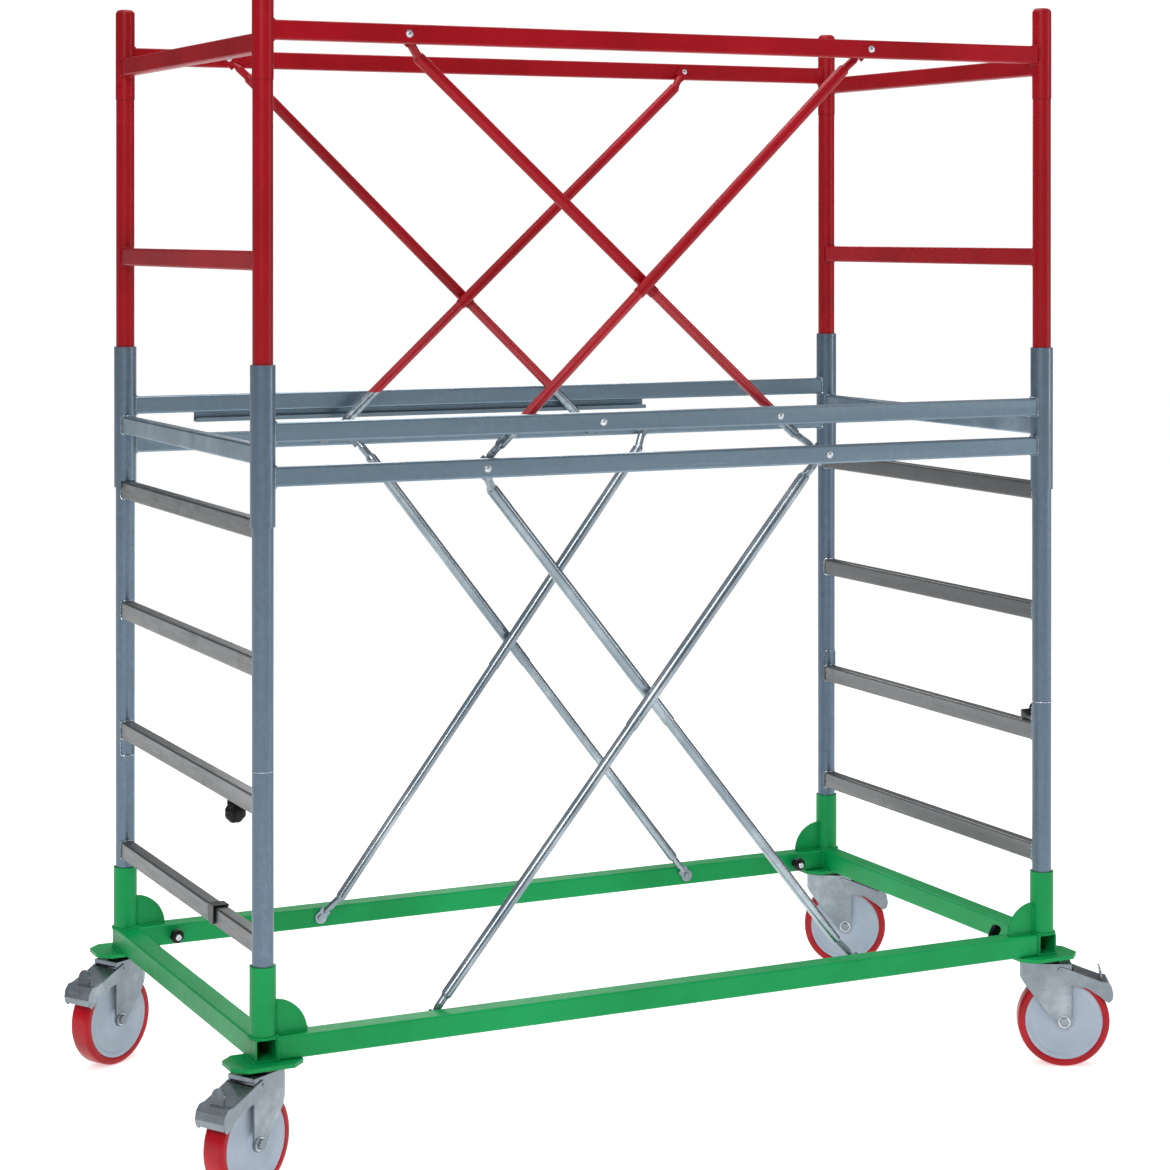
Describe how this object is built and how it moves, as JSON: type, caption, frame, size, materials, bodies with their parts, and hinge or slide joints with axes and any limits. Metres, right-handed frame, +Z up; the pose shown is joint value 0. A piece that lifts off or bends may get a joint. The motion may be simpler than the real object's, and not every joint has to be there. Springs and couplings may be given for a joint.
{
  "type": "baker scaffold",
  "caption": "Wheeled scaffold: green base, grey ladder ends and platform frame, red guard and top frame, crossed telescopic braces.",
  "frame": {"origin": "middle of the outline on the floor", "axes": "+X along the long side to the right, +Y to the rear, +Z up"},
  "size_m": [2.0996, 1.0794, 2.317],
  "materials": {
    "green_paint": "satin powder coat",
    "zinc": "bright zinc",
    "black_plastic": "matte",
    "red_tread": "smooth polyurethane",
    "grey_nylon": "satin",
    "rivet_zinc": "bright zinc",
    "red_paint": "gloss powder coat",
    "galvanised": "satin galvanised"
  },
  "bodies": {
    "base": {"side_tubes": "green_paint", "long_rails": "green_paint", "sockets": "green_paint", "gussets": "green_paint", "corner_plates": "green_paint", "base_fixings": "zinc"},
    "ladder_left": {"left_uprights": "galvanised", "left_rungs": "galvanised", "rung_cap": "black_plastic"},
    "ladder_right": {"right_uprights": "galvanised", "right_rungs": "galvanised"},
    "platform": {"sleeves": "galvanised", "platform_rails": "galvanised", "platform_rivets": "rivet_zinc"},
    "guard_left": {"left_guard_tubes": "red_paint", "left_guard_rung": "red_paint"},
    "guard_right": {"right_guard_tubes": "red_paint", "right_guard_rung": "red_paint"},
    "top_frame": {"top_posts": "red_paint", "top_rails": "red_paint", "top_rivets": "rivet_zinc"},
    "left_knob": {"left_knob": "black_plastic"},
    "right_knob": {"right_knob": "black_plastic"},
    "clamp_front_left": {"clamp_front_left": "black_plastic"},
    "clamp_rear_left": {"clamp_rear_left": "black_plastic"},
    "clamp_front_right": {"clamp_front_right": "black_plastic"},
    "clamp_rear_right": {"clamp_rear_right": "black_plastic"},
    "front_red_a_outer": {"front_red_a_outer": "red_paint"},
    "front_red_a_inner": {"front_red_a_inner": "red_paint"},
    "front_red_b_outer": {"front_red_b_outer": "red_paint"},
    "front_red_b_inner": {"front_red_b_inner": "red_paint"},
    "rear_red_a_outer": {"rear_red_a_outer": "red_paint"},
    "rear_red_a_inner": {"rear_red_a_inner": "red_paint"},
    "rear_red_b_outer": {"rear_red_b_outer": "red_paint"},
    "rear_red_b_inner": {"rear_red_b_inner": "red_paint"},
    "front_grey_a_outer": {"front_grey_a_outer": "galvanised"},
    "front_grey_a_inner": {"front_grey_a_inner": "galvanised"},
    "front_grey_b_outer": {"front_grey_b_outer": "galvanised"},
    "front_grey_b_inner": {"front_grey_b_inner": "galvanised"},
    "rear_grey_a_outer": {"rear_grey_a_outer": "galvanised"},
    "rear_grey_a_inner": {"rear_grey_a_inner": "galvanised"},
    "rear_grey_b_outer": {"rear_grey_b_outer": "galvanised"},
    "rear_grey_b_inner": {"rear_grey_b_inner": "galvanised"},
    "fork_fl": {"fork_fl": "zinc"},
    "wheel_fl": {"tyre_fl": "red_tread", "core_fl": "grey_nylon"},
    "pedal_fl": {"pedal_fl": "zinc"},
    "fork_fr": {"fork_fr": "zinc"},
    "wheel_fr": {"tyre_fr": "red_tread", "core_fr": "grey_nylon"},
    "pedal_fr": {"pedal_fr": "zinc"},
    "fork_rl": {"fork_rl": "zinc"},
    "wheel_rl": {"tyre_rl": "red_tread", "core_rl": "grey_nylon"},
    "pedal_rl": {"pedal_rl": "zinc"},
    "fork_rr": {"fork_rr": "zinc"},
    "wheel_rr": {"tyre_rr": "red_tread", "core_rr": "grey_nylon"},
    "pedal_rr": {"pedal_rr": "zinc"}
  },
  "joints": [
    {"name": "ladder_left_lift", "type": "slide", "parent": "base", "child": "ladder_left", "axis": [0, 0, 1], "range_m": [0, 0.12]},
    {"name": "ladder_right_lift", "type": "slide", "parent": "base", "child": "ladder_right", "axis": [0, 0, 1], "range_m": [0, 0.12]},
    {"name": "platform_lift", "type": "slide", "parent": "ladder_left", "child": "platform", "axis": [0, 0, 1], "range_m": [0, 0.15]},
    {"name": "guard_left_lift", "type": "slide", "parent": "platform", "child": "guard_left", "axis": [0, 0, 1], "range_m": [0, 0.12]},
    {"name": "guard_right_lift", "type": "slide", "parent": "platform", "child": "guard_right", "axis": [0, 0, 1], "range_m": [0, 0.12]},
    {"name": "top_frame_lift", "type": "slide", "parent": "guard_left", "child": "top_frame", "axis": [0, 0, 1], "range_m": [0, 0.05]},
    {"name": "left_knob_turn", "type": "hinge", "parent": "ladder_left", "child": "left_knob", "pos_m": [-0.9, -0.256, 0.6855], "axis": [0, -1, 0], "range_deg": [-90, 270]},
    {"name": "right_knob_turn", "type": "hinge", "parent": "ladder_right", "child": "right_knob", "pos_m": [0.923, -0.371, 0.7685], "axis": [0, -1, 0], "range_deg": [-90, 270]},
    {"name": "clamp_front_left_turn", "type": "hinge", "parent": "base", "child": "clamp_front_left", "pos_m": [-0.795, -0.4085, 0.2655], "axis": [0, 1, 0], "range_deg": [-35, 35]},
    {"name": "clamp_rear_left_turn", "type": "hinge", "parent": "base", "child": "clamp_rear_left", "pos_m": [-0.795, 0.4665, 0.2655], "axis": [0, -1, 0], "range_deg": [-35, 35]},
    {"name": "clamp_front_right_turn", "type": "hinge", "parent": "base", "child": "clamp_front_right", "pos_m": [0.795, -0.4085, 0.2655], "axis": [0, 1, 0], "range_deg": [-35, 35]},
    {"name": "clamp_rear_right_turn", "type": "hinge", "parent": "base", "child": "clamp_rear_right", "pos_m": [0.795, 0.4665, 0.2655], "axis": [0, -1, 0], "range_deg": [-35, 35]},
    {"name": "front_red_a_swing", "type": "hinge", "parent": "top_frame", "child": "front_red_a_outer", "pos_m": [-0.603, -0.4142, 2.214], "axis": [0, -1, 0], "range_deg": [0, 15]},
    {"name": "front_red_a_slide", "type": "slide", "parent": "front_red_a_outer", "child": "front_red_a_inner", "axis": [-0.7439, 0, 0.6683], "range_m": [0, 0.12]},
    {"name": "front_red_b_swing", "type": "hinge", "parent": "top_frame", "child": "front_red_b_outer", "pos_m": [0.4536, -0.4142, 2.214], "axis": [0, 1, 0], "range_deg": [0, 15]},
    {"name": "front_red_b_slide", "type": "slide", "parent": "front_red_b_outer", "child": "front_red_b_inner", "axis": [0.72, 0, 0.6939], "range_m": [0, 0.12]},
    {"name": "rear_red_a_swing", "type": "hinge", "parent": "top_frame", "child": "rear_red_a_outer", "pos_m": [-0.666, 0.4722, 2.214], "axis": [0, -1, 0], "range_deg": [0, 15]},
    {"name": "rear_red_a_slide", "type": "slide", "parent": "rear_red_a_outer", "child": "rear_red_a_inner", "axis": [-0.7249, 0, 0.6889], "range_m": [0, 0.12]},
    {"name": "rear_red_b_swing", "type": "hinge", "parent": "top_frame", "child": "rear_red_b_outer", "pos_m": [0.4896, 0.4722, 2.214], "axis": [0, 1, 0], "range_deg": [0, 15]},
    {"name": "rear_red_b_slide", "type": "slide", "parent": "rear_red_b_outer", "child": "rear_red_b_inner", "axis": [0.7362, 0, 0.6767], "range_m": [0, 0.12]},
    {"name": "front_grey_a_swing", "type": "hinge", "parent": "platform", "child": "front_grey_a_outer", "pos_m": [-0.4356, -0.4142, 1.357], "axis": [0, -1, 0], "range_deg": [0, 15]},
    {"name": "front_grey_a_slide", "type": "slide", "parent": "front_grey_a_outer", "child": "front_grey_a_inner", "axis": [-0.6277, 0, 0.7784], "range_m": [0, 0.12]},
    {"name": "front_grey_b_swing", "type": "hinge", "parent": "platform", "child": "front_grey_b_outer", "pos_m": [0.351, -0.4142, 1.357], "axis": [0, 1, 0], "range_deg": [0, 15]},
    {"name": "front_grey_b_slide", "type": "slide", "parent": "front_grey_b_outer", "child": "front_grey_b_inner", "axis": [0.6354, 0, 0.7722], "range_m": [0, 0.12]},
    {"name": "rear_grey_a_swing", "type": "hinge", "parent": "platform", "child": "rear_grey_a_outer", "pos_m": [-0.3672, 0.4722, 1.357], "axis": [0, -1, 0], "range_deg": [0, 15]},
    {"name": "rear_grey_a_slide", "type": "slide", "parent": "rear_grey_a_outer", "child": "rear_grey_a_inner", "axis": [-0.6183, 0, 0.786], "range_m": [0, 0.12]},
    {"name": "rear_grey_b_swing", "type": "hinge", "parent": "platform", "child": "rear_grey_b_outer", "pos_m": [0.3834, 0.4722, 1.357], "axis": [0, 1, 0], "range_deg": [0, 15]},
    {"name": "rear_grey_b_slide", "type": "slide", "parent": "rear_grey_b_outer", "child": "rear_grey_b_inner", "axis": [0.6069, 0, 0.7948], "range_m": [0, 0.12]},
    {"name": "swivel_fl", "type": "hinge", "parent": "base", "child": "fork_fl", "pos_m": [-0.9, -0.431, 0.235], "axis": [0, 0, 1], "continuous": true},
    {"name": "roll_fl", "type": "hinge", "parent": "fork_fl", "child": "wheel_fl", "pos_m": [-0.93984, -0.454, 0.1], "axis": [0.5, -0.866, 0], "continuous": true},
    {"name": "brake_fl", "type": "hinge", "parent": "fork_fl", "child": "pedal_fl", "pos_m": [-0.93464, -0.451, 0.211], "axis": [0.5, -0.866, 0], "range_deg": [-3, 1.4]},
    {"name": "swivel_fr", "type": "hinge", "parent": "base", "child": "fork_fr", "pos_m": [0.9, -0.431, 0.235], "axis": [0, 0, 1], "continuous": true},
    {"name": "roll_fr", "type": "hinge", "parent": "fork_fr", "child": "wheel_fr", "pos_m": [0.93984, -0.454, 0.1], "axis": [0.5, 0.866, 0], "continuous": true},
    {"name": "brake_fr", "type": "hinge", "parent": "fork_fr", "child": "pedal_fr", "pos_m": [0.93464, -0.451, 0.211], "axis": [0.5, 0.866, 0], "range_deg": [-3, 1.4]},
    {"name": "swivel_rl", "type": "hinge", "parent": "base", "child": "fork_rl", "pos_m": [-0.9, 0.489, 0.235], "axis": [0, 0, 1], "continuous": true},
    {"name": "roll_rl", "type": "hinge", "parent": "fork_rl", "child": "wheel_rl", "pos_m": [-0.93984, 0.466, 0.1], "axis": [0.5, -0.866, 0], "continuous": true},
    {"name": "brake_rl", "type": "hinge", "parent": "fork_rl", "child": "pedal_rl", "pos_m": [-0.93464, 0.469, 0.211], "axis": [0.5, -0.866, 0], "range_deg": [-3, 1.4]},
    {"name": "swivel_rr", "type": "hinge", "parent": "base", "child": "fork_rr", "pos_m": [0.9, 0.489, 0.235], "axis": [0, 0, 1], "continuous": true},
    {"name": "roll_rr", "type": "hinge", "parent": "fork_rr", "child": "wheel_rr", "pos_m": [0.93984, 0.466, 0.1], "axis": [0.5, 0.866, 0], "continuous": true},
    {"name": "brake_rr", "type": "hinge", "parent": "fork_rr", "child": "pedal_rr", "pos_m": [0.93464, 0.469, 0.211], "axis": [0.5, 0.866, 0], "range_deg": [-3, 1.4]}
  ],
  "couplings": [
    {"joint": "ladder_right_lift", "follows": "ladder_left_lift", "ratio": 1},
    {"joint": "guard_right_lift", "follows": "guard_left_lift", "ratio": 1}
  ]
}
